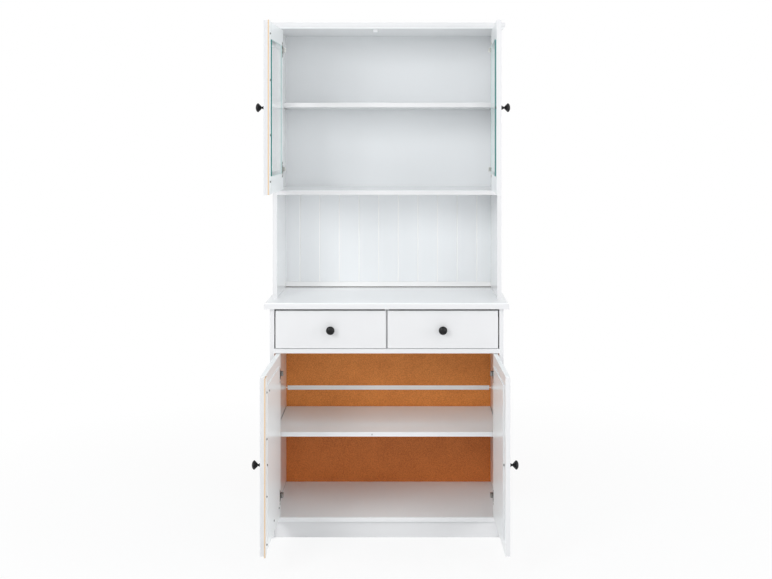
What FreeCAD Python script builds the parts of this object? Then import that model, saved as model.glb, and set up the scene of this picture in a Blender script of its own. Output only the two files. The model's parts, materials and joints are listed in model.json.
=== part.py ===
import FreeCAD, Part
import math
import os

# A two-part cupboard: a base with two drawers over two doors, and a hutch with an open
# niche under two glass doors. Lengths are millimetres, +Z up, +Y towards the back.
# While it is built, Y = 0 is the front plane of the base. The frame is centred at the end.

Vector = FreeCAD.Vector
UP = Vector(0, 0, 1)

# Carcass boards
board = 15.0
edge_ease = 0.6
cut_over = 1.0
base_width = 800.0
base_depth = 400.0
plinth_height = 57.0
plinth_recess = 12.0
plinth_board = 15.0
drawer_space = 138.6
back_board = 3.0
back_lap = 12.0
back_split_lift = 370.0

# Counter and top board, each with a quarter round and a quirk along three edges
counter_thick = 21.0
counter_side_overhang = 18.0
counter_front_overhang = 17.0
top_thick = 21.4
top_side_overhang = 12.0
top_front_overhang = 14.0
counter_round = 6.0
counter_quirk = 1.2
top_round = 7.6
top_quirk = 1.6

# Hutch
hutch_setback = 83.0
niche_height = 363.2
bead_board = 6.0
hutch_depth = base_depth + back_board - hutch_setback - bead_board
bead_pitch = 74.0
bead_count = 10
bead_width = 4.0
bead_cut = 1.8
rail_height = 17.5
rail_board = 15.0
rail_lift = 1.5

# Shelves and their pins
shelf_end_gap = 2.0
base_shelf_recess = 21.5
hutch_shelf_recess = 22.0
shelf_back_gap = 6.0
base_shelf_lift = 271.0
hutch_shelf_lift = 291.8
pin_radius = 2.5
pin_reach = 8.0
pin_hole_extra = 0.5
pin_inset = 40.0

# Joint strip between the two halves of the base's back, an H in section
strip_face = 16.0
strip_wall = 1.3
strip_fit = 0.3
strip_end_gap = 5.0

# Doors, all four of one size
door_thick = 15.0
door_height = 557.0
hinge_gap = 2.5
meeting_gap = 3.0
lower_door_gap = 2.2
upper_door_gap = 3.7
frame_member = 70.0
frame_bevel = 5.0
panel_thick = 3.0
panel_side_margin = 43.0
panel_end_margin = 36.0
glass_thick = 4.0
glass_margin = 58.0
lap_thick = 5.0
lap_width = 38.0
lap_past_edge = 18.0
lap_lip_relief = 0.8
lap_end_gap = 1.5

# How far each door stands open, and how far it turns, in degrees
lower_left_angle = 91.2
lower_right_angle = 91.4
upper_left_angle = 91.0
upper_right_angle = 88.2
limit_angle = 95.0

# Concealed cup hinge with a goose-neck arm on one pin
hinge_end_distance = 70.0
axis_from_edge = 9.5
axis_from_face = 7.0
cup_radius = 17.5
cup_wall = 1.0
cup_depth = 11.8
cup_bore_fit = 0.1
cup_edge_distance = 22.5
flange_thick = 1.2
flange_radius = 19.5
flange_ear_radius = 6.0
flange_ear_spacing = 45.0
flange_ear_offset = 6.0
flange_ear_bevel = 3.5
pin_bearing_radius = 1.25
pin_running_fit = 0.05
eye_radius = 2.3
eye_width = 10.0
arm_width = 14.0
arm_thick = 3.0
arm_nose = 16.5
arm_return = 15.0
arm_over_plate = 42.0
arm_bend = 1.2
eye_to_width_step = 10.0
same_place = 0.01
plate_wall = 2.5
plate_hub = 8.0
plate_wing_width = 13.0
plate_wing_span = 46.0
plate_wing_bevel = 4.0
plate_hub_length = 32.0
plate_setback = 38.0
clamp_head_radius = 3.6
clamp_head_height = 1.4

# Catch under the top board, and the pad on the base shelf's edge, for the left doors
catch_width = 16.0
catch_height = 9.0
catch_depth = 24.0
catch_from_centre = 42.0
catch_clearance = 0.6
strike_thick = 1.0
strike_height = 14.0
strike_top_gap = 3.0
catch_slot = 2.0
catch_lip = 2.5
pad_radius = 2.5
pad_from_centre = 51.0

# Knob, turned, with a flange, a neck and a domed head
knob_radius = 14.6
knob_length = 30.0
knob_flange_radius = 7.5
knob_flange_height = 1.6
knob_neck_radius = 2.8
knob_neck_height = 10.5
knob_rim_height = 21.6
knob_shoulder = 4.5
knob_from_edge = 35.0
lower_knob_drop = 4.5

# Drawers
drawer_front_thick = 15.0
drawer_front_height = 128.5
drawer_front_lift = 2.1
drawer_side_gap = 4.5
drawer_centre_gap = 6.0
drawer_front_gap = 2.0
drawer_box_gap = 1.75
drawer_wall = 12.0
drawer_wall_height = 100.0
drawer_wall_lift = 6.5
drawer_rear_space = 35.0
drawer_length = base_depth - drawer_front_thick - drawer_rear_space
drawer_bottom_thick = 3.0
drawer_bottom_lift = 9.0
drawer_groove_depth = 6.0
drawer_groove_extra = 0.3
drawer_travel = 260.0
runner_height = 16.0
runner_thick = 7.0
runner_lift = 45.0
runner_front = 20.0
runner_length = drawer_length - runner_front
runner_fit = 0.6

# Heights and faces that follow from the sizes above
inner_half = base_width / 2 - board
lower_opening = door_height + 2 * lower_door_gap
upper_opening = door_height + 2 * upper_door_gap
bottom_low = plinth_height
bottom_top = bottom_low + board
deck_low = bottom_top + lower_opening
deck_top = deck_low + board
counter_low = deck_top + drawer_space
counter_top = counter_low + counter_thick
fixed_low = counter_top + niche_height
fixed_top = fixed_low + board
top_low = fixed_top + upper_opening
base_back = base_depth
hutch_back = hutch_setback + hutch_depth
door_width = inner_half - hinge_gap - meeting_gap / 2
cup_floor = door_thick - cup_depth


def block(x0, x1, y0, y1, z0, z1):
    return Part.makeBox(x1 - x0, y1 - y0, z1 - z0, Vector(x0, y0, z0))


def panel(x0, x1, y0, y1, z0, z1):
    """A board with its arrises eased."""
    solid = block(x0, x1, y0, y1, z0, z1)
    return solid.makeChamfer(edge_ease, solid.Edges)


def rod(radius, length, start, direction):
    return Part.makeCylinder(radius, length, start, direction)


def pushed(wire, start, end, axis):
    """A closed wire pushed from one height to another along an axis."""
    face = Part.Face(wire).translated(axis * start)
    return face.extrude(axis * (end - start))


def prism(points, start, end, axis):
    return pushed(Part.makePolygon(points + [points[0]]), start, end, axis)


def mirrored(shape):
    return shape.mirror(Vector(0, 0, 0), Vector(1, 0, 0))


def moulded_edge(place, thick, radius, quirk):
    """A board's edge from its plain arris to its moulded one: a flat, a quirk and a
    quarter round. place gives the point at a distance in from the edge and a height."""
    shelf = thick - radius - quirk
    slant = radius * math.cos(math.pi / 4)
    spring = place(quirk, thick - radius)
    flat = Part.makePolygon([place(0, 0), place(0, shelf), place(quirk, shelf), spring])
    crown = place(quirk + radius, thick)
    turn = Part.Arc(spring, place(quirk + radius - slant, thick - radius + slant), crown)
    return flat.Edges + [turn.toShape()]


def moulded_board(half_width, y_front, y_back, z_low, thick, radius, quirk, round_up):
    """A board whose front and end edges carry one quarter round and a quirk. The
    front profile runs the full width, the end profile the full depth, and what the
    two share is the board, so its corners mitre."""
    inset = quirk + radius

    def level(height):
        return z_low + (height if round_up else thick - height)

    def front(distance, height):
        return Vector(0, y_front + distance, level(height))

    def right(distance, height):
        return Vector(half_width - distance, 0, level(height))

    def left(distance, height):
        return Vector(distance - half_width, 0, level(height))

    depth = y_back - y_front
    behind = Part.makePolygon([front(inset, thick), front(depth, thick), front(depth, 0), front(0, 0)])
    profile = moulded_edge(front, thick, radius, quirk) + behind.Edges
    along = pushed(Part.Wire(profile), -half_width, half_width, Vector(1, 0, 0))
    across_top = Part.makeLine(right(inset, thick), left(inset, thick))
    across_low = Part.makeLine(left(0, 0), right(0, 0))
    ends = moulded_edge(right, thick, radius, quirk) + moulded_edge(left, thick, radius, quirk)
    section = Part.Wire(Part.__sortEdges__(ends + [across_top, across_low]))
    return along.common(pushed(section, y_front, y_back, Vector(0, 1, 0)))


def base_pieces():
    inner = inner_half
    outer = base_width / 2
    pieces = {}
    side = panel(-outer, -inner, 0, base_depth, 0, counter_low)
    pieces["base_side_left"] = side
    pieces["base_side_right"] = mirrored(side)
    pieces["base_bottom_panel"] = panel(-inner, inner, 0, base_depth, bottom_low, bottom_top)
    pieces["base_plinth"] = panel(-inner, inner, plinth_recess, plinth_recess + plinth_board, 0, bottom_low)
    pieces["drawer_deck"] = panel(-inner, inner, 0, base_depth, deck_low, deck_top)
    partition_front = drawer_front_thick + drawer_front_gap
    pieces["drawer_partition"] = panel(-board / 2, board / 2, partition_front, base_depth, deck_top, counter_low)
    split = bottom_low + back_split_lift
    half_web = strip_wall / 2 + strip_fit
    back_half = inner + back_lap
    pieces["base_back_lower"] = block(-back_half, back_half, base_back, base_back + back_board,
                                      bottom_low, split - half_web)
    pieces["base_back_upper"] = block(-back_half, back_half, base_back, base_back + back_board,
                                      split + half_web, counter_low)
    strip_half = inner - strip_end_gap
    web_front = base_back - strip_fit
    web_back = base_back + back_board + strip_fit
    web = block(-strip_half, strip_half, web_front, web_back, split - strip_wall / 2, split + strip_wall / 2)
    low = split - strip_face / 2
    high = split + strip_face / 2
    front_face = block(-strip_half, strip_half, web_front - strip_wall, web_front, low, high)
    rear_face = block(-strip_half, strip_half, web_back, web_back + strip_wall, low, high)
    pieces["base_back_joint_strip"] = web.fuse(front_face).fuse(rear_face).removeSplitter()
    shelf_low = bottom_top + base_shelf_lift
    shelf_half = inner - shelf_end_gap
    pieces["base_shelf"] = panel(-shelf_half, shelf_half, base_shelf_recess,
                                 base_depth - shelf_back_gap, shelf_low, shelf_low + board)
    pieces["countertop"] = moulded_board(outer + counter_side_overhang, -counter_front_overhang,
                                         base_back + back_board, counter_low, counter_thick,
                                         counter_round, counter_quirk, True)
    return pieces


def hutch_pieces():
    inner = inner_half
    outer = base_width / 2
    front = hutch_setback
    pieces = {}
    side = panel(-outer, -inner, front, hutch_back, counter_top, top_low)
    pieces["hutch_side_left"] = side
    pieces["hutch_side_right"] = mirrored(side)
    pieces["hutch_fixed_shelf"] = panel(-inner, inner, front, hutch_back, fixed_low, fixed_top)
    shelf_low = fixed_top + hutch_shelf_lift
    shelf_half = inner - shelf_end_gap
    pieces["hutch_shelf"] = panel(-shelf_half, shelf_half, front + hutch_shelf_recess,
                                  hutch_back - shelf_back_gap, shelf_low, shelf_low + board)
    pieces["hutch_back_rail"] = panel(-inner, inner, hutch_back - rail_board, hutch_back,
                                      counter_top + rail_lift, counter_top + rail_lift + rail_height)
    half = inner + back_lap
    seam = fixed_low + board / 2
    pieces["hutch_back_upper"] = block(-half, half, hutch_back, hutch_back + back_board, seam, top_low)
    beads = block(-half, half, hutch_back, hutch_back + bead_board, counter_top, seam)
    for k in range(bead_count):
        x = (k - (bead_count - 1) / 2) * bead_pitch
        groove = [Vector(x - bead_width / 2, hutch_back, 0), Vector(x + bead_width / 2, hutch_back, 0),
                  Vector(x, hutch_back + bead_cut, 0)]
        beads = beads.cut(prism(groove, counter_top - cut_over, seam + cut_over, UP))
    pieces["hutch_back_beadboard"] = beads
    pieces["hutch_top_board"] = moulded_board(outer + top_side_overhang, front - top_front_overhang,
                                              hutch_back + bead_board, top_low, top_thick,
                                              top_round, top_quirk, False)
    return pieces


def shelf_pin_places():
    """Places of the pins' axes on the left side's inner face."""
    base_z = bottom_top + base_shelf_lift - pin_radius
    hutch_z = fixed_top + hutch_shelf_lift - pin_radius
    places = []
    for front, back, z, side in ((base_shelf_recess, base_depth - shelf_back_gap, base_z, "base"),
                                 (hutch_setback + hutch_shelf_recess, hutch_back - shelf_back_gap,
                                  hutch_z, "hutch")):
        places.append((front + pin_inset, z, side))
        places.append((back - pin_inset, z, side))
    return places


def fit_shelf_pins(pieces):
    pins = []
    for y, z, side in shelf_pin_places():
        start = Vector(-inner_half - pin_reach, y, z)
        pin = rod(pin_radius, 2 * pin_reach, start, Vector(1, 0, 0))
        pins.append(pin)
        pins.append(mirrored(pin))
        hole = rod(pin_radius, pin_reach + pin_hole_extra + cut_over,
                   Vector(-inner_half - pin_reach - pin_hole_extra, y, z), Vector(1, 0, 0))
        pieces[side + "_side_left"] = pieces[side + "_side_left"].cut(hole)
        pieces[side + "_side_right"] = pieces[side + "_side_right"].cut(mirrored(hole))
    pieces["shelf_pins"] = Part.makeCompound(pins)


def arc_about(centre, start, end):
    """The shorter arc round a centre from one point to another."""
    middle = (start + end) / 2 - centre
    middle.normalize()
    return Part.Arc(start, centre + middle * (start - centre).Length, end).toShape()


def knob_solid():
    """The knob stands on the origin and points along -Y. Its outline is a flange, a
    waisted neck, a flare out to the rim, and a head of two arcs: a shoulder that leaves
    the rim along the axis and a dome that crosses the axis squarely."""
    rise = knob_length - knob_rim_height
    reach = knob_radius - knob_shoulder
    dome = (reach ** 2 + rise ** 2 - knob_shoulder ** 2) / (2 * (rise - knob_shoulder))
    centre = Vector(0, 0, 0)
    rim = Vector(knob_radius, -knob_rim_height, 0)
    crown = Vector(0, -knob_length, 0)
    shoulder_centre = Vector(reach, -knob_rim_height, 0)
    dome_centre = Vector(0, dome - knob_length, 0)
    toward = shoulder_centre - dome_centre
    toward.normalize()
    meet = dome_centre + toward * dome
    waist = Vector((knob_flange_radius + 2 * knob_neck_radius) / 3,
                   -(knob_flange_height + knob_neck_height) / 2, 0)
    under = Vector((2 * knob_radius + 3 * knob_neck_radius) / 5,
                   -(knob_neck_height + knob_rim_height) / 2, 0)
    flange = Vector(knob_flange_radius, 0, 0)
    flange_top = Vector(knob_flange_radius, -knob_flange_height, 0)
    neck = Vector(knob_neck_radius, -knob_neck_height, 0)
    edges = [Part.LineSegment(centre, flange).toShape(),
             Part.LineSegment(flange, flange_top).toShape(),
             Part.Arc(flange_top, waist, neck).toShape(),
             Part.Arc(neck, under, rim).toShape(),
             arc_about(shoulder_centre, rim, meet),
             arc_about(dome_centre, meet, crown),
             Part.LineSegment(crown, centre).toShape()]
    return Part.Face(Part.Wire(edges)).revolve(centre, Vector(0, 1, 0), 360)


def hinge_heights():
    return (hinge_end_distance, door_height - hinge_end_distance)


def cup_solid():
    """The cup lies in the door's own coordinates with its middle at height zero: a
    pressed pan with a flange, two ears and the hinge pin across it."""
    along = Vector(0, 1, 0)
    mouth = Vector(cup_edge_distance, door_thick, 0)
    pan = rod(cup_radius, cup_depth, Vector(cup_edge_distance, cup_floor, 0), along)
    flange = rod(flange_radius, flange_thick, mouth, along)
    x_ear = cup_edge_distance + flange_ear_offset
    half = flange_ear_spacing / 2 + flange_ear_radius
    bar = block(x_ear - flange_ear_radius, x_ear + flange_ear_radius, door_thick,
                door_thick + flange_thick, -half, half)
    bar = bar.makeChamfer(flange_ear_bevel, edges_along(bar, along))
    cup = pan.fuse(flange).fuse(bar).removeSplitter()
    hollow = rod(cup_radius - cup_wall, cup_depth + flange_thick + cut_over,
                 Vector(cup_edge_distance, cup_floor + cup_wall, 0), along)
    held = rod(cup_radius - cup_wall / 2, cup_depth, Vector(cup_edge_distance, cup_floor, 0), along)
    pin = rod(pin_bearing_radius, 2 * cup_radius, Vector(axis_from_edge, axis_from_face, -cup_radius), UP)
    return cup.cut(hollow).fuse(pin.common(held))


def cup_bore(z):
    return rod(cup_radius + cup_bore_fit, cup_depth + cup_bore_fit + cut_over,
               Vector(cup_edge_distance, cup_floor - cup_bore_fit, z), Vector(0, 1, 0))


def edges_along(solid, axis):
    return [edge for edge in solid.Edges if edge.tangentAt(edge.FirstParameter).cross(axis).Length < same_place]


def upright_edges(solid, corners):
    """The edges of a pushed outline that stand on some of its corners."""
    found = []
    for edge in solid.Edges:
        foot = edge.Vertexes[0].Point
        head = edge.Vertexes[-1].Point
        plan = Vector(foot.x, foot.y, 0)
        stands = abs(foot.z - head.z) > same_place
        if stands and min((plan - corner).Length for corner in corners) < same_place:
            found.append(edge)
    return found


def arm_solid():
    """The arm, seen from above: an eye on the pin, a nose out of the cup, a neck back
    along the door's edge, and a bar over the mounting plate, with its bends bevelled.
    Its coordinates are the distance from the side panel and the distance behind the
    door's front face."""
    pin_u = hinge_gap + axis_from_edge
    pin_v = axis_from_face
    half = arm_thick / 2
    nose_u = pin_u + arm_nose
    return_v = pin_v + arm_return
    bar_u = plate_hub + half
    end_v = return_v + arm_over_plate
    outline = [(pin_u, pin_v - half), (nose_u + half, pin_v - half), (nose_u + half, return_v + half),
               (bar_u + half, return_v + half), (bar_u + half, end_v), (bar_u - half, end_v),
               (bar_u - half, return_v - half), (nose_u - half, return_v - half),
               (nose_u - half, pin_v + half), (pin_u, pin_v + half)]
    points = [Vector(u, v, 0) for u, v in outline]
    arm = prism(points, -arm_width / 2, arm_width / 2, UP)
    ends = [points[0], points[-1]] + [p for p in points if p.y == end_v]
    arm = arm.makeChamfer(arm_bend, upright_edges(arm, [p for p in points if p not in ends]))
    side_cut = (arm_width - eye_width) / 2
    for z in (-arm_width / 2 - cut_over, eye_width / 2):
        notch = block(pin_u - eye_radius - cut_over, pin_u + eye_to_width_step, pin_v - eye_radius - cut_over,
                      pin_v + eye_radius + cut_over, z, z + side_cut + cut_over)
        arm = arm.cut(notch)
    eye = rod(eye_radius, eye_width, Vector(pin_u, pin_v, -eye_width / 2), UP)
    hole = rod(pin_bearing_radius + pin_running_fit, arm_width + 2 * cut_over,
               Vector(pin_u, pin_v, -arm_width / 2 - cut_over), UP)
    return arm.fuse(eye).cut(hole)


def plate_and_clamp():
    """The mounting plate on the side panel, a hub under the arm between two wings, and
    the head of the screw that clamps the arm to the hub."""
    wing_low = plate_setback + (plate_hub_length - plate_wing_width) / 2
    half = plate_wing_span / 2
    hub = block(0, plate_hub, plate_setback, plate_setback + plate_hub_length, -arm_width / 2, arm_width / 2)
    wing = block(0, plate_wall, wing_low, wing_low + plate_wing_width, -half, half)
    across = Vector(1, 0, 0)
    wing = wing.makeChamfer(plate_wing_bevel, edges_along(wing, across))
    seat = Vector(plate_hub + arm_thick, wing_low + plate_wing_width / 2, 0)
    return hub.fuse(wing).removeSplitter(), rod(clamp_head_radius, clamp_head_height, seat, across)


def on_door(shape, hand, front, low):
    """Carries a shape from the door's own coordinates to the closed door. The left
    door's hinge edge is near the left side, and the right door is its mirror."""
    placed = shape.translated(Vector(-inner_half + hinge_gap, front, low))
    return placed if hand < 0 else mirrored(placed)


def on_side(shape, hand, front, z):
    placed = shape.translated(Vector(-inner_half, front, z))
    return placed if hand < 0 else mirrored(placed)


def hinge_axis(hand, front):
    x = inner_half - hinge_gap - axis_from_edge
    return Vector(hand * x, front + axis_from_face, 0)


def opened(shape, hand, front, swing):
    turned = shape.copy()
    turned.rotate(hinge_axis(hand, front), UP, hand * swing)
    return turned


def door_frame():
    """The whole frame: a board with a window, bevelled round the window's front edge
    and bored for the two cups."""
    frame = panel(0, door_width, 0, door_thick, 0, door_height)
    member = frame_member
    window = block(member, door_width - member, -cut_over, door_thick + cut_over, member, door_height - member)
    frame = frame.cut(window)

    def ring(grow, y):
        low = member - grow
        right = door_width - low
        high = door_height - low
        corners = [Vector(low, y, low), Vector(right, y, low), Vector(right, y, high), Vector(low, y, high)]
        return Part.makePolygon(corners + [corners[0]])

    bevel = Part.makeLoft([ring(frame_bevel, 0), ring(0, frame_bevel)], True, True)
    frame = frame.cut(bevel)
    for z in hinge_heights():
        frame = frame.cut(cup_bore(z))
    return frame


def door_members():
    """The frame sawn at its four mitres into two stiles and two rails."""
    frame = door_frame()
    half = door_width / 2
    left = [Vector(0, 0, 0), Vector(half, 0, half), Vector(half, 0, door_height - half),
            Vector(0, 0, door_height)]
    along = Vector(0, 1, 0)
    left_wedge = prism(left, 0, door_thick, along)
    right_wedge = prism([Vector(door_width - p.x, 0, p.z) for p in left], 0, door_thick, along)
    stiles = [frame.common(left_wedge), frame.common(right_wedge)]
    middle = frame.cut(left_wedge).cut(right_wedge)
    return stiles, middle.Solids


def knob_place(drop):
    return Vector(door_width - knob_from_edge, 0, door_height / 2 - drop)


def lap_strip():
    """The strip behind the left door's free edge. The lip that reaches behind the right
    door is relieved, so that the two doors meet without rubbing."""
    low = door_width - lap_width + lap_past_edge
    high = door_width + lap_past_edge
    strip = panel(low, high, door_thick, door_thick + lap_thick, lap_end_gap, door_height - lap_end_gap)
    relief = block(door_width, high + cut_over, door_thick - cut_over, door_thick + lap_lip_relief,
                   -cut_over, door_height + cut_over)
    return strip.cut(relief)


def strike_plate():
    middle = inner_half - hinge_gap - catch_from_centre
    top = door_height - strike_top_gap
    return block(middle - catch_width / 2, middle + catch_width / 2, door_thick,
                 door_thick + strike_thick, top - strike_height, top)


def catch_solid(front, ceiling):
    """A small housing under a board, with two lips that frame its magnet."""
    y = front + door_thick + strike_thick + catch_clearance
    middle = -catch_from_centre
    low = ceiling - catch_height
    body = panel(middle - catch_width / 2, middle + catch_width / 2, y, y + catch_depth, low, ceiling)
    slot = block(middle - catch_width / 2 - cut_over, middle + catch_width / 2 + cut_over,
                 y - cut_over, y + catch_slot, low + catch_lip, ceiling - catch_lip)
    magnet = block(middle - catch_width / 2 + catch_lip, middle + catch_width / 2 - catch_lip,
                   y + catch_clearance / 2, y + catch_slot, low + catch_lip, ceiling - catch_lip)
    return Part.makeCompound([body.cut(slot), magnet])


def pad_solid():
    """A round pad on the base shelf's front edge, which the lower left door meets."""
    face = door_thick + panel_thick + catch_clearance
    middle = bottom_top + base_shelf_lift + board / 2
    start = Vector(-pad_from_centre, face, middle)
    return rod(pad_radius, base_shelf_recess - face, start, Vector(0, 1, 0))


def door_set():
    """Name, hand, front plane, height of the door's foot, swing and infill."""
    lower_foot = bottom_top + lower_door_gap
    upper_foot = fixed_top + upper_door_gap
    return [("lower_left", -1, 0, lower_foot, lower_left_angle, "panel"),
            ("lower_right", 1, 0, lower_foot, lower_right_angle, "panel"),
            ("upper_left", -1, hutch_setback, upper_foot, upper_left_angle, "glass"),
            ("upper_right", 1, hutch_setback, upper_foot, upper_right_angle, "glass")]


def door_pieces():
    pieces = {}
    arms = []
    stiles, rails = door_members()
    plates = []
    clamps = []
    knob = knob_solid()
    cup = cup_solid()
    arm = arm_solid()
    plate, clamp = plate_and_clamp()
    infill_sizes = {"panel": (panel_thick, panel_side_margin, panel_end_margin, lower_knob_drop),
                    "glass": (glass_thick, glass_margin, glass_margin, 0)}
    for name, hand, front, foot, swing, infill in door_set():
        def place(shape):
            return opened(on_door(shape, hand, front, foot), hand, front, swing)

        pieces[name + "_door_stiles"] = Part.makeCompound([place(one) for one in stiles])
        pieces[name + "_door_rails"] = Part.makeCompound([place(one) for one in rails])
        thick, side, end, drop = infill_sizes[infill]
        sheet = panel(side, door_width - side, door_thick, door_thick + thick, end, door_height - end)
        pieces[name + "_door_" + infill] = place(sheet)
        pieces[name + "_door_knob"] = place(knob.translated(knob_place(drop)))
        cups = []
        for z in hinge_heights():
            cups.append(place(cup.translated(Vector(0, 0, z))))
            arms.append(on_side(arm, hand, front, foot + z))
            plates.append(on_side(plate, hand, front, foot + z))
            clamps.append(on_side(clamp, hand, front, foot + z))
        pieces[name + "_hinge_cups"] = Part.makeCompound(cups)
        if hand < 0:
            pieces[name + "_door_lap_strip"] = place(lap_strip())
        if hand < 0 and infill == "glass":
            pieces[name + "_door_strike"] = place(strike_plate())
    pieces["hinge_arms"] = Part.makeCompound(arms)
    pieces["hinge_plates"] = Part.makeCompound(plates)
    pieces["hinge_clamp_screws"] = Part.makeCompound(clamps)
    pieces["lower_door_pad"] = pad_solid()
    pieces["upper_door_catch"] = catch_solid(hutch_setback, top_low)
    return pieces


def drawer_pieces(name, hand):
    """One drawer: an inset front on a box whose sides are grooved for the runners. The
    left one is modelled and the right one is its mirror."""
    pieces = {}
    low = deck_top + drawer_front_lift
    left = -inner_half + drawer_side_gap
    right = -drawer_centre_gap / 2
    middle = (left + right) / 2
    at = Vector(middle, 0, low + drawer_front_height / 2)
    pieces["front"] = panel(left, right, 0, drawer_front_thick, low, low + drawer_front_height)
    pieces["knob"] = knob_solid().translated(at)
    box_left = -inner_half + drawer_box_gap
    box_right = -board / 2 - drawer_box_gap
    box_low = deck_top + drawer_wall_lift
    box_high = box_low + drawer_wall_height
    y0 = drawer_front_thick
    y1 = y0 + drawer_length
    groove_low = deck_top + runner_lift - runner_fit
    groove_high = deck_top + runner_lift + runner_height + runner_fit
    floor_low = box_low + drawer_bottom_lift
    floor_high = floor_low + drawer_bottom_thick
    tongue = drawer_groove_depth
    extra = drawer_groove_extra
    outer = panel(box_left, box_left + drawer_wall, y0, y1, box_low, box_high)
    outer = outer.cut(block(box_left - cut_over, box_left + tongue, y0, y1 + cut_over, groove_low, groove_high))
    outer = outer.cut(block(box_left + tongue, box_left + drawer_wall + cut_over, y0 - cut_over, y1 + cut_over,
                            floor_low - extra, floor_high + extra))
    inner = panel(box_right - drawer_wall, box_right, y0, y1, box_low, box_high)
    inner = inner.cut(block(box_right - tongue, box_right + cut_over, y0, y1 + cut_over, groove_low, groove_high))
    inner = inner.cut(block(box_right - drawer_wall - cut_over, box_right - tongue, y0 - cut_over,
                            y1 + cut_over, floor_low - extra, floor_high + extra))
    pieces["sides"] = Part.makeCompound([outer, inner])
    pieces["back"] = panel(box_left + drawer_wall, box_right - drawer_wall, y1 - drawer_wall, y1,
                           floor_high + extra, box_high)
    pieces["bottom"] = block(box_left + tongue + extra, box_right - tongue - extra, y0, y1,
                             floor_low, floor_high)
    placed = {}
    for key, solid in pieces.items():
        placed[name + "_drawer_" + key] = solid if hand < 0 else mirrored(solid)
    return placed


def runner_pieces():
    low = deck_top + runner_lift
    against_side = panel(-inner_half, -inner_half + runner_thick, runner_front,
                         runner_front + runner_length, low, low + runner_height)
    against_middle = panel(-board / 2 - runner_thick, -board / 2, runner_front,
                           runner_front + runner_length, low, low + runner_height)
    solids = []
    for strip in (against_side, against_middle):
        solids.append(strip)
        solids.append(mirrored(strip))
    return {"drawer_runners": Part.makeCompound(solids)}


def build():
    pieces = base_pieces()
    pieces.update(hutch_pieces())
    fit_shelf_pins(pieces)
    pieces.update(door_pieces())
    pieces.update(runner_pieces())
    pieces.update(drawer_pieces("left", -1))
    pieces.update(drawer_pieces("right", 1))
    return pieces


pieces = build()
whole = FreeCAD.BoundBox()
for shape in pieces.values():
    whole.add(shape.BoundBox)
shift = Vector(0, -(whole.YMin + whole.YMax) / 2, 0)
os.makedirs("parts", exist_ok=True)
for node, shape in pieces.items():
    shape.translated(shift).exportStep("parts/" + node + ".step")
print("nodes", len(pieces))
print("box x", round(whole.XMin, 3), round(whole.XMax, 3))
print("box y", round(whole.YMin + shift.y, 3), round(whole.YMax + shift.y, 3))
print("box z", round(whole.ZMin, 3), round(whole.ZMax, 3))
print("front plane of the base at y", round(shift.y, 3))
for name, hand, front, foot, swing, infill in door_set():
    axis = hinge_axis(hand, front) + shift
    print(name, "hinge axis", round(axis.x, 3), round(axis.y, 3), "foot", round(foot, 3), "open", swing)
print("doors turn to", limit_angle, "drawers travel", drawer_travel)
print("heights", [round(v, 2) for v in (bottom_top, deck_low, deck_top, counter_low, counter_top,
                                        fixed_low, fixed_top, top_low)])
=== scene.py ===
import bpy
import json
import math
import numpy as np
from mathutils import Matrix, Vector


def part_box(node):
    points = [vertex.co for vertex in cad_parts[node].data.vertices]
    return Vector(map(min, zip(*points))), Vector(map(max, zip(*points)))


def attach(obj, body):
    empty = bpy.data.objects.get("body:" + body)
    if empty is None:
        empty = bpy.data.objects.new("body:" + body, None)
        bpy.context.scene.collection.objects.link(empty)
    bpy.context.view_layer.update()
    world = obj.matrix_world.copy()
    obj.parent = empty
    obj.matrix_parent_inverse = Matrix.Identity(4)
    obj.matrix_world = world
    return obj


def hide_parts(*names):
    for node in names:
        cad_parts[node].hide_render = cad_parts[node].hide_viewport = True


# A white two-part cupboard: two glass doors over an open niche, two drawers, two doors.
# Metres, +Z up, the front faces -Y.

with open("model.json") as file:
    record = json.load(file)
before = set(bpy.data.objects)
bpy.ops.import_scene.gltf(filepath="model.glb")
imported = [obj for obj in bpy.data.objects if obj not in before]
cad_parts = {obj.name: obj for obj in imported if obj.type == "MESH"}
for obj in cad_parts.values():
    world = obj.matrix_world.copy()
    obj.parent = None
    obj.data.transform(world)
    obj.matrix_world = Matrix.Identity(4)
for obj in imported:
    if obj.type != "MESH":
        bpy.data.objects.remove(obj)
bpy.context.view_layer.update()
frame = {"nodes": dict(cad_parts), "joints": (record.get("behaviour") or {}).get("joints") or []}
nodes = frame["nodes"]
joints = {joint["child"]: joint for joint in frame["joints"]}
print("frame loaded,", len(nodes), "nodes")

# the sockets of a mix node that is set to colours
colourMix = {"factor": 0, "first": 6, "second": 7, "result": 2}


class Wire:  # one socket of a shader tree, so that shader maths reads as plain sums
    def __init__(self, tree, socket=None):
        self.tree = tree
        self.socket = socket

    def add(self, kind, settings, inputs, output=0):  # any node: its settings, then values or wires
        node = self.tree.nodes.new(kind)
        for name, value in settings.items():
            setattr(node, name, value)
        for name, value in inputs.items():
            if isinstance(value, Wire):
                self.tree.links.new(value.socket, node.inputs[name])
            else:
                node.inputs[name].default_value = value
        return Wire(self.tree, node.outputs[output])

    def maths(self, operation, first, second):
        return self.add("ShaderNodeMath", {"operation": operation}, {0: first, 1: second})

    def mixed(self, factor, first, second, blend="MIX"):  # two colours or wires by a factor
        inputs = {colourMix["factor"]: factor, colourMix["first"]: first,
                  colourMix["second"]: second}
        return self.add("ShaderNodeMix", {"data_type": "RGBA", "blend_type": blend}, inputs,
                        colourMix["result"])

    def __add__(self, other):
        return self.maths("ADD", self, other)

    def __radd__(self, other):
        return self.maths("ADD", other, self)

    def __sub__(self, other):
        return self.maths("SUBTRACT", self, other)

    def __rsub__(self, other):
        return self.maths("SUBTRACT", other, self)

    def __mul__(self, other):
        return self.maths("MULTIPLY", self, other)

    def __gt__(self, other):
        return self.maths("GREATER_THAN", self, other)


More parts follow.
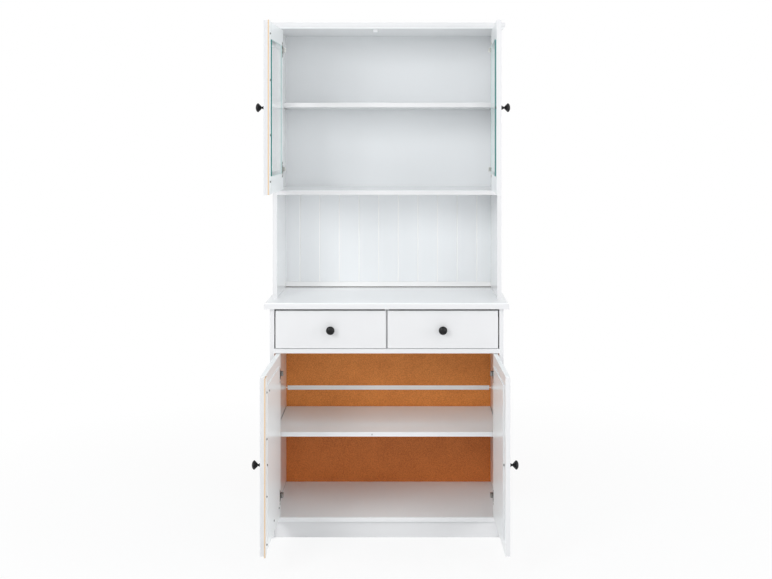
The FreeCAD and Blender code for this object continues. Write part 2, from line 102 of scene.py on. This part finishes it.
def newFinish(name, plain):
    # a material with one Principled shader: plain gives the sockets that stay the same all over
    material = bpy.data.materials.new(name)
    material.use_nodes = True
    shader = material.node_tree.nodes["Principled BSDF"]
    for socket, value in plain.items():
        shader.inputs[socket].default_value = value
    return material, shader, Wire(material.node_tree)


def feed(shader, wires):
    for socket, wire in wires.items():
        wire.tree.links.new(wire.socket, shader.inputs[socket])


def surfaceOf(wire, share, first, second):
    # the surface is a mix of two shaders, by the share of the second
    blend = wire.add("ShaderNodeMixShader", {}, {0: share, 1: first, 2: second})
    wire.tree.links.new(blend.socket, wire.tree.nodes["Material Output"].inputs["Surface"])


def noise(wire, scale, detail):
    # noise on object coordinates, with its own number of features per metre along each axis
    place = wire.add("ShaderNodeTexCoord", {}, {}, "Object")
    stretched = wire.add("ShaderNodeMapping", {}, {"Vector": place, "Scale": scale})
    return wire.add("ShaderNodeTexNoise", {}, {"Vector": stretched, "Scale": 1.0, "Detail": detail})


def evenNoise(wire, count, detail):
    return noise(wire, [count] * 3, detail)


def grainNoise(wire, look, axis):
    # noise drawn out along one axis: look gives its features per metre across and along
    scale = [look["across"]] * 3
    scale["XYZ".index(axis)] = look["along"]
    return noise(wire, scale, look["detail"])


def along(wire, axis):
    # how far a point lies along an axis of its own piece, in metres
    place = wire.add("ShaderNodeTexCoord", {}, {}, "Object")
    return wire.add("ShaderNodeSeparateXYZ", {}, {"Vector": place}, axis)


def facing(wire, axis):
    # how squarely a surface faces an axis of its own piece, from -1 to 1
    normal = wire.add("ShaderNodeTexCoord", {}, {}, "Normal")
    return wire.add("ShaderNodeSeparateXYZ", {}, {"Vector": normal}, axis)


def facingFront(wire):
    return facing(wire, "Y") * -1


broad = 0.5  # the least square of the X part of a broad face's direction


def isBroadFace(wire):
    # the modelled doors stand open, so the broad faces of their strips and glass look along X
    side = facing(wire, "X")
    return side * side > broad


def bumped(wire, height, look):
    return wire.add("ShaderNodeBump", {}, {"Height": height, "Strength": look["relief"],
                                           "Distance": look["depth"]})


# each tone of the foil is a pair of colours, which its pores and a broad clouding mix
foil = {"plain": ((0.942, 0.95, 0.958, 1), (0.91, 0.92, 0.93, 1)),
        # painted light: the cool tone is a paler, bluer copy of the foil for the doors and inner
        # shelves, set against the warm bounce light and the cool shade inside
        "cool": ((0.94, 0.965, 0.973, 1), (0.915, 0.94, 0.948, 1)),
        # painted shade: the greyer tones of the faces towards the front; the shelf's is lighter, as
        # painted light on its recessed front
        "band": ((0.768, 0.765, 0.774, 1), (0.745, 0.742, 0.752, 1)),
        "shelfBand": ((0.87, 0.87, 0.88, 1), (0.745, 0.742, 0.752, 1)),
        "across": 700, "along": 22, "detail": 4.0, "poreShare": 0.45,
        "cloud": 7, "cloudDetail": 2.0, "cloudShare": 0.4,
        "roughness": 0.3, "spread": 0.1, "relief": 0.05, "depth": 0.0003,
        "coat": 0.35, "wallCoat": 0.8, "coatRough": 0.06,
        "gloss": 0.25, "shelfGloss": 0.2, "doorGloss": 0.1,
        "bandFacing": 0.9, "outerFacing": 0.25}


def foilSockets(wire, colour, pores):
    return {"Base Color": colour, "Roughness": foil["roughness"] + pores * foil["spread"],
            "Normal": bumped(wire, pores, foil)}


def whiteFoil(name, axis, coat=foil["coat"], gloss=foil["gloss"], tone="plain", band="band",
              door=False):
    # semi-gloss white foil: fine pores drawn out along one axis, under a broad faint clouding.
    # What faces the front, and a door's outer face, gets a slightly greyer tone. This is painted
    # shade against the stronger light on the fronts, made lighter on the shelf's recessed front as
    # painted light
    material, shader, wire = newFinish(name, {"Specular IOR Level": gloss, "Coat Weight": coat,
                                             "Coat Roughness": foil["coatRough"]})
    pores = grainNoise(wire, foil, axis)
    cloud = evenNoise(wire, foil["cloud"], foil["cloudDetail"])
    worn = pores * foil["poreShare"] + cloud * foil["cloudShare"]
    # painted shade: the mask of the faces towards the front, which get the greyer tone
    paintedFrontMask = facingFront(wire) > foil["bandFacing"]
    # the doors' outer faces get the same painted shade as the fronts
    if door:  # the modelled doors stand open, so their outer faces look away from the middle
        outer = along(wire, "X") * facing(wire, "X") > foil["outerFacing"]
        paintedFrontMask = wire.maths("MAXIMUM", paintedFrontMask, outer)
    colour = wire.mixed(paintedFrontMask, wire.mixed(worn, *foil[tone]), wire.mixed(worn, *foil[band]))
    feed(shader, foilSockets(wire, colour, pores))
    return material


# painted shadow: the dark colour of the rail's lowest 1.3 mm stands for the shade in the gap under
# it
rail = {"white": (0.965, 0.965, 0.96, 1), "arris": (0.16, 0.14, 0.12, 1), "low": 0.0013}


def railFoil():
    # the white back rail, whose lowest strip is painted dark: a thin line of painted shadow for the
    # gap above the counter
    material, shader, wire = newFinish("railFoil", {"Specular IOR Level": foil["gloss"]})
    pores = grainNoise(wire, foil, "X")
    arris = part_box("hutch_back_rail")[0].z + rail["low"] - along(wire, "Z") > 0
    feed(shader, foilSockets(wire, wire.mixed(arris, rail["white"], rail["arris"]), pores))
    return material


fibre = {"dark": (0.50, 0.13, 0.021, 1), "light": (0.98, 0.375, 0.09, 1),
         "fleck": 300, "fleckDetail": 5.0, "fleckShare": 1.5,
         "mottle": 14, "mottleDetail": 3.0, "mottleShare": 0.4, "darker": 0.4,
         "roughness": 0.5, "gloss": 0.3, "relief": 0.25, "depth": 0.0003,
         # painted shade for the lowest bay: this colour multiplies the front face below the shelf
         "low": (0.86, 0.70, 0.66, 1), "lowHeight": 0.352, "lowFacing": 0.5}


def fibreColour(wire):
    # the colour of bare hardboard, and the flecks that it is mixed by
    fleck = evenNoise(wire, fibre["fleck"], fibre["fleckDetail"])
    mottle = evenNoise(wire, fibre["mottle"], fibre["mottleDetail"])
    share = fleck * fibre["fleckShare"] + mottle * fibre["mottleShare"] - fibre["darker"]
    return wire.mixed(share, fibre["dark"], fibre["light"]), fleck


def hardboard():
    # smooth brown hardboard, flecked with fibres, its face painted darker and redder in the lowest
    # bay as painted shade under the shelf
    material, shader, wire = newFinish("hardboard", {"Roughness": fibre["roughness"],
                                                     "Specular IOR Level": fibre["gloss"]})
    colour, fleck = fibreColour(wire)
    # painted shade: the mask of the front face below the shelf
    low = (fibre["lowHeight"] - along(wire, "Z") > 0) * (facingFront(wire) > fibre["lowFacing"])
    feed(shader, {"Base Color": wire.mixed(low, colour, fibre["low"], "MULTIPLY"),
                  "Normal": bumped(wire, fleck, fibre)})
    return material


lacquer = {"face": ((0.895, 0.912, 0.926, 1), (0.872, 0.892, 0.906, 1)), "poreShare": 0.5,
           "groove": (0.99, 0.99, 0.985, 1), "roughness": 0.32, "relief": 0.1, "depth": 0.0003,
           "frontFacing": 0.5, "flatFacing": 0.9}


def facedHardboard():
    # the same board with a white lacquered face towards the front, whiter in its grooves as painted
    # light against their own shade
    material, shader, wire = newFinish("facedHardboard", {"Roughness": lacquer["roughness"]})
    colour, fleck = fibreColour(wire)
    front = facingFront(wire)
    pores = grainNoise(wire, foil, "Z")
    face = wire.mixed(pores * lacquer["poreShare"], *lacquer["face"])
    # painted light: the sloped walls of the grooves get a whiter colour than the flat face
    white = wire.mixed(front > lacquer["flatFacing"], lacquer["groove"], face)
    feed(shader, {"Base Color": wire.mixed(front > lacquer["frontFacing"], colour, white),
                  "Normal": bumped(wire, fleck, lacquer)})
    return material


strip = {"bare": ((0.64, 0.44, 0.26, 1), (0.76, 0.58, 0.40, 1)), "fleck": 600, "detail": 4.0,
         "whiteShare": 0.5, "roughness": 0.42, "relief": 0.12, "depth": 0.0003}


def stripBoard():
    # a strip with white faces whose sawn edges show the bare board
    material, shader, wire = newFinish("stripBoard", {"Roughness": strip["roughness"]})
    fleck = evenNoise(wire, strip["fleck"], strip["detail"])
    bare = wire.mixed(fleck, *strip["bare"])
    white = wire.mixed(fleck * strip["whiteShare"], *foil["plain"])
    feed(shader, {"Base Color": wire.mixed(isBroadFace(wire), bare, white),
                  "Normal": bumped(wire, fleck, strip)})
    return material


# plastics and plain foils: a colour and a roughness each
moulded = {"paleStrip": ((0.96, 0.985, 0.99, 1), 0.3), "paleFoil": ((0.80, 0.79, 0.76, 1), 0.45),
           "whitePlastic": ((0.84, 0.85, 0.86, 1), 0.4), "greyPad": ((0.50, 0.50, 0.50, 1), 0.6),
           "grain": 420, "detail": 2.0, "spread": 0.1, "relief": 0.06, "depth": 0.0002}


def plastic(name):
    colour, roughness = moulded[name]
    material, shader, wire = newFinish(name, {"Base Color": colour})
    grain = evenNoise(wire, moulded["grain"], moulded["detail"])
    feed(shader, {"Roughness": roughness + grain * moulded["spread"],
                  "Normal": bumped(wire, grain, moulded)})
    return material


black = {"colour": (0.006, 0.006, 0.007, 1), "gloss": 0.2, "ripple": 90, "detail": 2.0,
         "roughness": 0.3, "coat": 0.1, "spread": 0.1, "coatRough": 0.08,
         "relief": 0.05, "depth": 0.0004}


def blackGloss():
    # black lacquer with a faint ripple
    material, shader, wire = newFinish("blackGloss", {"Base Color": black["colour"],
                                                      "Specular IOR Level": black["gloss"],
                                                      "Coat Roughness": black["coatRough"]})
    ripple = evenNoise(wire, black["ripple"], black["detail"])
    feed(shader, {"Roughness": black["roughness"] + ripple * black["spread"],
                  "Coat Weight": black["coat"] + ripple * black["spread"],
                  "Normal": bumped(wire, ripple, black)})
    return material


# plated steels: a colour, a roughness and the axis of the drawing lines each
steel = {"nickel": ((0.80, 0.785, 0.77), 0.26, "Z"), "zinc": ((0.66, 0.66, 0.66), 0.32, "X"),
         # painted shade: the screw heads' dark steel stands for the shade in their recesses
         "burnished": ((0.16, 0.155, 0.15), 0.3, "Z"), "shade": 0.82,
         "across": 1400, "along": 60, "detail": 3.0, "spread": 0.16,
         "relief": 0.08, "depth": 0.0002}
# painted shade: the hinges below this height get the dark colour
hinge = {"dark": (0.34, 0.33, 0.315, 1), "bright": (0.72, 0.71, 0.69, 1), "height": 0.9,
         "roughness": 0.2}


def steelSockets(wire, colour, roughness, lines):
    return {"Base Color": colour, "Roughness": roughness + lines * steel["spread"],
            "Normal": bumped(wire, lines, steel)}


def platedSteel(name):
    # plate with faint drawing lines along one axis
    colour, roughness, axis = steel[name]
    material, shader, wire = newFinish(name, {"Metallic": 1.0})
    lines = grainNoise(wire, steel, axis)
    shade = tuple(steel["shade"] * value for value in colour)
    plate = wire.mixed(lines, colour + (1,), shade + (1,))
    feed(shader, steelSockets(wire, plate, roughness, lines))
    return material


def hingeSteel():
    # nickel painted darker in the base as painted shade, brighter in the hutch
    material, shader, wire = newFinish("hingeSteel", {"Metallic": 1.0})
    lines = grainNoise(wire, steel, "Z")
    colour = wire.mixed(along(wire, "Z") > hinge["height"], hinge["dark"], hinge["bright"])
    feed(shader, steelSockets(wire, colour, hinge["roughness"], lines))
    return material


pane = {"mirror": (0.94, 0.98, 0.975, 1), "straight": 0.045, "slanted": 0.65, "blend": 0.5,
        "power": 5.0, "edge": ((0.002, 0.17, 0.165, 1), (0.006, 0.25, 0.235, 1)),
        "pale": (0.55, 0.76, 0.74, 1), "roughness": 0.35, "gloss": 0.15,
        "cloud": 60, "detail": 2.0, "nearFacing": 0.5}


def floatGlass():
    # clear sheet glass. Its faces are a mirror that is almost clear seen straight on and
    # strengthens with the fifth power of the slant, and its ground edges look green where they
    # face the front
    material, shader, wire = newFinish("floatGlass", {"Base Color": pane["mirror"],
                                                      "Roughness": 0.0, "Metallic": 1.0})
    slant = wire.add("ShaderNodeLayerWeight", {}, {"Blend": pane["blend"]}, "Facing")
    strong = wire.maths("POWER", slant, pane["power"])
    feed(shader, {"Alpha": pane["straight"] + strong * pane["slanted"]})
    ground = wire.tree.nodes.new("ShaderNodeBsdfPrincipled")
    ground.inputs["Roughness"].default_value = pane["roughness"]
    ground.inputs["Specular IOR Level"].default_value = pane["gloss"]
    outside = 1 - wire.add("ShaderNodeNewGeometry", {}, {}, "Backfacing")
    near = (facingFront(wire) > pane["nearFacing"]) * outside
    green = wire.mixed(evenNoise(wire, pane["cloud"], pane["detail"]), *pane["edge"])
    feed(ground, {"Base Color": wire.mixed(near, pane["pale"], green)})
    surfaceOf(wire, isBroadFace(wire), Wire(wire.tree, ground.outputs[0]),
              Wire(wire.tree, shader.outputs[0]))
    return material


# the doors and the base shelf and bottom use the cool tone, painted against the light inside the
# cupboard
finishes = {"upright": whiteFoil("whiteUpright", "Z", gloss=foil["doorGloss"], tone="cool",
                                 door=True),
            "deep": whiteFoil("whiteDeep", "Y", gloss=foil["doorGloss"], tone="cool", door=True),
            "wall": whiteFoil("whiteWall", "Z", coat=foil["wallCoat"]),
            "across": whiteFoil("whiteAcross", "X"),
            "shelf": whiteFoil("whiteShelf", "X", gloss=foil["shelfGloss"], tone="cool",
                               band="shelfBand"),
            "rail": railFoil(), "hardboard": hardboard(), "faced": facedHardboard(),
            "strip": stripBoard(), "joint": plastic("paleStrip"), "drawer": plastic("paleFoil"),
            "plastic": plastic("whitePlastic"), "pad": plastic("greyPad"), "gloss": blackGloss(),
            "nickel": platedSteel("nickel"), "zinc": platedSteel("zinc"),
            "burnished": platedSteel("burnished"), "hinge": hingeSteel(), "glass": floatGlass()}

# the finish of every node that stays as it is, by the start or the end of its name
finishOf = {"base_side": "wall", "hutch_side": "wall", "base_plinth": "across",
            "base_bottom": "shelf", "drawer_deck": "across", "base_shelf": "shelf",
            "countertop": "across", "hutch_top": "across", "hutch_fixed": "across",
            "hutch_shelf": "across", "hutch_back_rail": "rail", "drawer_partition": "wall",
            "base_back_lower": "hardboard", "base_back_upper": "hardboard",
            "base_back_joint": "joint", "hutch_back_upper": "faced", "hutch_back_bead": "faced",
            "drawer_runners": "drawer", "_drawer_front": "across", "_drawer_sides": "drawer",
            "_drawer_back": "drawer", "_drawer_bottom": "hardboard", "_door_stiles": "upright",
            "_door_rails": "deep", "_door_panel": "upright", "_door_glass": "glass",
            "_door_lap_strip": "strip", "_door_strike": "nickel", "_hinge_cups": "hinge",
            "hinge_arms": "hinge", "hinge_plates": "hinge", "shelf_pins": "zinc",
            "_door_pad": "pad", "_door_catch": "plastic"}
for name, node in nodes.items():
    for part, finish in finishOf.items():
        if name.startswith(part) or name.endswith(part):
            node.data.materials.clear()
            node.data.materials.append(finishes[finish])
print("finishes on the frame")


def meshPiece(name, points, faces, finish, body, slot):
    # a piece that rides on a body. A face's corners under zero are left out
    mesh = bpy.data.meshes.new(name)
    corners = [[i for i in face if i >= 0] for face in faces.tolist()]
    mesh.from_pydata(points.tolist(), [], corners)
    mesh.validate()
    mesh.shade_smooth()
    piece = bpy.data.objects.new(name, mesh)
    bpy.context.scene.collection.objects.link(piece)
    mesh.materials.append(finishes[finish])
    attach(piece, body)
    return piece


steep = 0.9  # the upward share of a direction from which X, not Z, helps to find the square ones


def squareTo(normal):
    # two directions square to a normal, so that the three make a right-handed set
    normal = np.asarray(normal, float)
    helper = np.array([0.0, 0.0, 1.0]) if abs(normal[2]) < steep else np.array([1.0, 0.0, 0.0])
    first = np.cross(helper, normal)
    first /= np.linalg.norm(first)
    return first, np.cross(normal, first), normal


def turned(seat, normal, radius, height, steps):
    # a solid of rings on a seat: the first and last rings close on the axis. radius and
    # height are arrays of ring and angle, from the tip to the foot
    angle = np.linspace(0, 2 * math.pi, steps, endpoint=False)
    first, second, axis = squareTo(normal)
    ray = np.cos(angle)[:, None] * first + np.sin(angle)[:, None] * second
    rings = np.asarray(seat) + radius[..., None] * ray + height[..., None] * axis
    tip = np.asarray(seat) + height[0].mean() * axis
    foot = np.asarray(seat) + height[-1].mean() * axis
    points = np.concatenate([rings.reshape(-1, 3), tip[None], foot[None]])
    ring, corner = np.meshgrid(np.arange(len(radius) - 1), np.arange(steps), indexing="ij")
    after = (corner + 1) % steps
    sides = np.stack([ring * steps + corner, (ring + 1) * steps + corner,
                      (ring + 1) * steps + after, ring * steps + after], -1).reshape(-1, 4)
    one = np.arange(steps)
    two = (one + 1) % steps
    last = (len(radius) - 1) * steps
    none = np.full(steps, -1)
    top = np.stack([np.full(steps, len(points) - 2), one, two, none], -1)
    low = np.stack([np.full(steps, len(points) - 1), last + two, last + one, none], -1)
    return points, np.concatenate([sides, top, low])


def joined(parts):
    # several point and face arrays as one pair
    points = np.concatenate([part[0] for part in parts])
    shifts = np.cumsum([0] + [len(part[0]) for part in parts[:-1]])
    faces = [np.where(part[1] < 0, -1, part[1] + shift) for part, shift in zip(parts, shifts)]
    return points, np.concatenate(faces)


# doors: u from the hinge edge, v behind the front face, w above the foot
door = {"width": 0.381, "thick": 0.015, "axisFromEdge": 0.0095, "axisFromFace": 0.007}
doorNames = ["lower_left_door", "lower_right_door", "upper_left_door", "upper_right_door"]


def doorFrame(name):
    # where a door's hinge line starts, its hand (-1 left, 1 right), and its turn from closed
    joint = joints[name]
    closing = max(joint["range_deg"], key=abs)
    turn = math.radians(-closing)
    hand = 1 if joint["pos_m"][0] > 0 else -1
    spin = np.array([[math.cos(turn), -math.sin(turn), 0],
                     [math.sin(turn), math.cos(turn), 0],
                     [0, 0, 1]])
    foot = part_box(name + "_stiles")[0].z
    pivot = np.array([joint["pos_m"][0], joint["pos_m"][1], foot])
    return {"pivot": pivot, "hand": hand, "spin": spin}


def onDoor(name, u, v, w):
    at = doorFrame(name)
    local = np.array([-at["hand"] * (u - door["axisFromEdge"]), v - door["axisFromFace"], w])
    return at["pivot"] + at["spin"] @ local


def inward(name):
    return doorFrame(name)["spin"] @ np.array([0.0, 1.0, 0.0])


knob = {"radius": 0.0146, "length": 0.030, "rim": 0.0216, "neck": 0.0028, "neckHeight": 0.0105,
        "flange": 0.0075, "flangeHeight": 0.0016, "fromEdge": 0.035, "steps": 40,
        "crownFrom": 0.04, "crownRings": 14, "underFrom": 0.06, "underRings": 14,
        "flareFrom": 0.1, "flareRings": 8, "underCurve": 1.5, "underHollow": 0.12, "underDrop": 1.1,
        "footHeight": 0.0004, "footRound": 0.0003}


def knobShape(seat, normal):
    # crown to rim is a quarter of an oval. Rim to neck is a rounded cone: its radius falls with
    # a power of the way down and is hollowed by a sine. Neck to flange is a straight flare
    t = np.linspace(knob["crownFrom"], 1, knob["crownRings"]) * math.pi / 2
    crown = np.stack([knob["radius"] * np.sin(t),
                      knob["rim"] + (knob["length"] - knob["rim"]) * np.cos(t)], -1)
    s = np.linspace(knob["underFrom"], 1, knob["underRings"])
    reach = knob["radius"] - knob["neck"]
    drop = knob["rim"] - knob["neckHeight"]
    hollow = 1 - knob["underHollow"] * np.sin(math.pi * s)
    under = np.stack([knob["neck"] + reach * (1 - s ** knob["underCurve"]) * hollow,
                      knob["rim"] - drop * s ** knob["underDrop"]], -1)
    f = np.linspace(knob["flareFrom"], 1, knob["flareRings"])
    flare = np.stack([knob["neck"] + (knob["flange"] - knob["neck"]) * f,
                      knob["neckHeight"] + (knob["flangeHeight"] - knob["neckHeight"]) * f], -1)
    foot = np.array([[knob["flange"], knob["footHeight"]],
                     [knob["flange"] - knob["footRound"], 0.0]])
    profile = np.concatenate([crown, under, flare, foot])
    ones = np.ones(knob["steps"])
    return turned(seat, normal, profile[:, :1] * ones, profile[:, 1:] * ones, knob["steps"])


def knobHeight(name):
    low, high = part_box(name + "_knob")
    return (low.z + high.z) / 2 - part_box(name + "_stiles")[0].z


def addKnob(name, seat, outward):
    piece = meshPiece(name + "_turned_knob", *knobShape(seat, outward), "gloss", name, "knob_black")
    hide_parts(name + "_knob")


for name in doorNames:
    seat = onDoor(name, door["width"] - knob["fromEdge"], 0.0, knobHeight(name))
    addKnob(name, seat, -inward(name))
for name in ("left_drawer", "right_drawer"):
    low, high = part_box(name + "_front")
    addKnob(name, ((low.x + high.x) / 2, low.y, (low.z + high.z) / 2), (0, -1, 0))
print("knobs turned")

head = {"steps": 24, "rings": 7, "from": 0.12, "round": 0.98, "skirt": 0.35, "sunk": 0.00005,
        "crossWidth": 0.26, "crossReach": 0.62, "crossDepth": 0.55}


def screwHead(seat, normal, size):
    # a pan head: a low dome over a short skirt, with a cross pressed into it. The cross is
    # where the smaller of two square offsets from the axis is under half the slot's width
    radius, height = size
    t = np.linspace(head["from"], 1, head["rings"])[:, None] * np.ones(head["steps"])
    angle = np.linspace(0, 2 * math.pi, head["steps"], endpoint=False)[None]
    offset = np.minimum(np.abs(t * np.cos(angle)), np.abs(t * np.sin(angle)))
    cross = (offset < head["crossWidth"] / 2) & (t < head["crossReach"])
    dome = height * (head["skirt"] + (1 - head["skirt"]) * np.sqrt(1 - head["round"] * t ** 2))
    top = dome - cross * height * head["crossDepth"]
    skirt = np.zeros((1, head["steps"]))
    return turned(seat, normal, np.concatenate([t * radius, skirt + radius]),
                  np.concatenate([top, skirt - head["sunk"]]), head["steps"])


# each kind of screw: the radius and height of its head
screws = {"strip": (0.0032, 0.0026), "cup": (0.0034, 0.0014), "panel": (0.0034, 0.0018),
          "knob": (0.004, 0.003), "tallKnob": (0.004, 0.0060), "clamp": (0.0036, 0.0014),
          "stripInset": 0.010, "stripThick": 0.005,
          "stripHeights": {"upper": (0.042, 0.190, 0.366, 0.514),
                           "lower": (0.0333, 0.1826, 0.3614, 0.5066)},
          "panelThick": 0.003, "panelAt": ((0.064, 0.046), (0.188, 0.046), (0.2925, 0.495)),
          "cupFromEdge": 0.0285, "cupSpread": 0.0225, "flange": 0.0012, "hingeInset": 0.070,
          "plateSpread": 0.0165, "plateBehind": 0.054, "plateThick": 0.0025, "clampOut": 0.011}


def hingeHeights(name):
    # the heights of a door's two hinges above its foot
    low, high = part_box(name + "_stiles")
    return screws["hingeInset"], high.z - low.z - screws["hingeInset"]


def doorScrews(name):
    # the heads on a door's inner side: knob, hinge cups, overlap strip and panel, each with the
    # height of its seat over the frame. Only the lower left door shows screws in its panel, and
    # a taller head behind its knob
    kind = "tallKnob" if name == "lower_left_door" else "knob"
    seats = [(kind, door["width"] - knob["fromEdge"], 0, knobHeight(name))]
    for w in hingeHeights(name):
        for side in (-1, 1):
            seats.append(("cup", screws["cupFromEdge"], screws["flange"],
                          w + side * screws["cupSpread"]))
    if doorFrame(name)["hand"] < 0:
        for w in screws["stripHeights"][name.split("_")[0]]:
            seats.append(("strip", door["width"] - screws["stripInset"], screws["stripThick"], w))
    if name == "lower_left_door":
        for u, w in screws["panelAt"]:
            seats.append(("panel", u, screws["panelThick"], w))
    return [screwHead(onDoor(name, u, door["thick"] + over, w), inward(name), screws[kind])
            for kind, u, over, w in seats]


def wallScrews(name):
    # the heads on the side board beside a door: those of its hinge plates, and the clamp screws
    at = doorFrame(name)
    storey = "base" if "lower" in name else "hutch"
    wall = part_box(storey + "_side_" + ("left" if at["hand"] < 0 else "right"))
    wallX = wall[1].x if at["hand"] < 0 else wall[0].x
    away = np.array([-at["hand"], 0.0, 0.0])
    plates = []
    clamps = []
    for w in hingeHeights(name):
        centre = np.array([wallX, wall[0].y + screws["plateBehind"], at["pivot"][2] + w])
        clamps.append(screwHead(centre + away * screws["clampOut"], away, screws["clamp"]))
        for side in (-1, 1):
            aside = np.array([0, 0, side * screws["plateSpread"]])
            place = centre + away * screws["plateThick"] + aside
            plates.append(screwHead(place, away, screws["cup"]))
    return plates, clamps


plateScrews = []
clampScrews = []
for name in doorNames:
    # the screw heads get the dark steel, painted as the shade of their recesses
    meshPiece(name + "_screws", *joined(doorScrews(name)), "burnished", name, "nickel_steel")
    plates, clamps = wallScrews(name)
    plateScrews += plates
    clampScrews += clamps
meshPiece("plate_screws", *joined(plateScrews), "burnished", "carcass", "nickel_steel")
piece = meshPiece("clamp_screws", *joined(clampScrews), "burnished", "carcass", "nickel_steel")
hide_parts("hinge_clamp_screws")
print("screws set")


def seenDirectly(wire):
    # 1 for what the camera, mirrors and glass see, 0 for what only lights the object
    path = wire.tree.nodes.new("ShaderNodeLightPath")
    rays = [Wire(wire.tree, path.outputs["Is " + kind + " Ray"])
            for kind in ("Camera", "Glossy", "Transmission")]
    return wire.maths("MINIMUM", rays[0] + rays[1] + rays[2], 1.0)


stage = {"half": 6.0, "floor": (0.93, 0.93, 0.93, 1), "roughness": 0.9, "gloss": 0.1,
         "near": 0.8, "reach": 2.2, "glow": (1, 1, 1, 1)}


def stageFloor():
    # a pale floor. What the camera, mirrors and glass see of it glows white far away, and
    # less near the object, where the shadow is kept: the share grows with the distance
    material, shader, wire = newFinish("paleFloor", {"Base Color": stage["floor"],
                                                     "Roughness": stage["roughness"],
                                                     "Specular IOR Level": stage["gloss"]})
    place = wire.add("ShaderNodeTexCoord", {}, {}, "Object")
    away = wire.add("ShaderNodeVectorMath", {"operation": "LENGTH"}, {0: place}, "Value")
    growth = (1 - stage["near"]) / stage["reach"]
    keep = wire.maths("MINIMUM", stage["near"] + away * growth, 1.0)
    glow = wire.add("ShaderNodeEmission", {}, {"Color": stage["glow"], "Strength": 1.0})
    surfaceOf(wire, seenDirectly(wire) * keep, Wire(wire.tree, shader.outputs[0]), glow)
    return material


floorMesh = bpy.data.meshes.new("floor")
half = stage["half"]
corners = [(-half, -half, 0), (half, -half, 0), (half, half, 0), (-half, half, 0)]
floorMesh.from_pydata(corners, [], [(0, 1, 2, 3)])
floorMesh.materials.append(stageFloor())
floor = bpy.data.objects.new("floor", floorMesh)
bpy.context.scene.collection.objects.link(floor)

air = {"fill": 0.64, "seen": 1.0, "sky": (0.97, 1.0, 1.015, 1), "seenSky": (1, 1, 1, 1)}
world = bpy.data.worlds.new("studio")
world.use_nodes = True
bpy.context.scene.world = world
worldWire = Wire(world.node_tree)
seen = seenDirectly(worldWire)
strength = air["fill"] + seen * (air["seen"] - air["fill"])
feed(world.node_tree.nodes["Background"], {"Strength": strength,
                                           "Color": worldWire.mixed(seen, air["sky"],
                                                                    air["seenSky"])})

aimedAt = np.array([0, 0, 0.9])
lamps = {"left": {"at": (-1.9, -2.9, 2.2), "power": 37, "size": 1.2},
         "front": {"at": (0.2, -6.0, 3.4), "power": 23, "size": 2.0},
         "high": {"at": (3.6, -4.6, 6.6), "power": 48, "size": 2.6},
         "right": {"at": (3.2, -5.0, 1.6), "power": 28, "size": 1.8},
         "across": {"at": (5.0, -2.2, 1.8), "power": 48, "size": 1.8}}
for name, lamp in lamps.items():
    light = bpy.data.lights.new(name, "AREA")
    light.energy = lamp["power"]
    light.size = lamp["size"]
    holder = bpy.data.objects.new(name, light)
    bpy.context.scene.collection.objects.link(holder)
    holder.location = lamp["at"]
    aim = aimedAt - np.array(lamp["at"])
    tilt = math.acos(-aim[2] / np.linalg.norm(aim))
    holder.rotation_euler = (tilt, 0, math.atan2(aim[1], aim[0]) - math.pi / 2)
print("lights set")

view = {"lens": 52.97, "sensor": 36.0, "shiftX": -0.0245, "shiftY": -0.2038,
        "x": 0.0621, "z": 1.3901, "beforeFront": 3.8851}
eye = bpy.data.cameras.new("camera")
eye.lens = view["lens"]
eye.sensor_width = view["sensor"]
eye.shift_x = view["shiftX"]
eye.shift_y = view["shiftY"]
camera = bpy.data.objects.new("camera", eye)
bpy.context.scene.collection.objects.link(camera)
camera.location = (view["x"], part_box("base_side_left")[0].y - view["beforeFront"], view["z"])
camera.rotation_euler = (math.pi / 2, 0, 0)
bpy.context.scene.camera = camera
bpy.context.scene.view_settings.view_transform = "Standard"

print("ready")
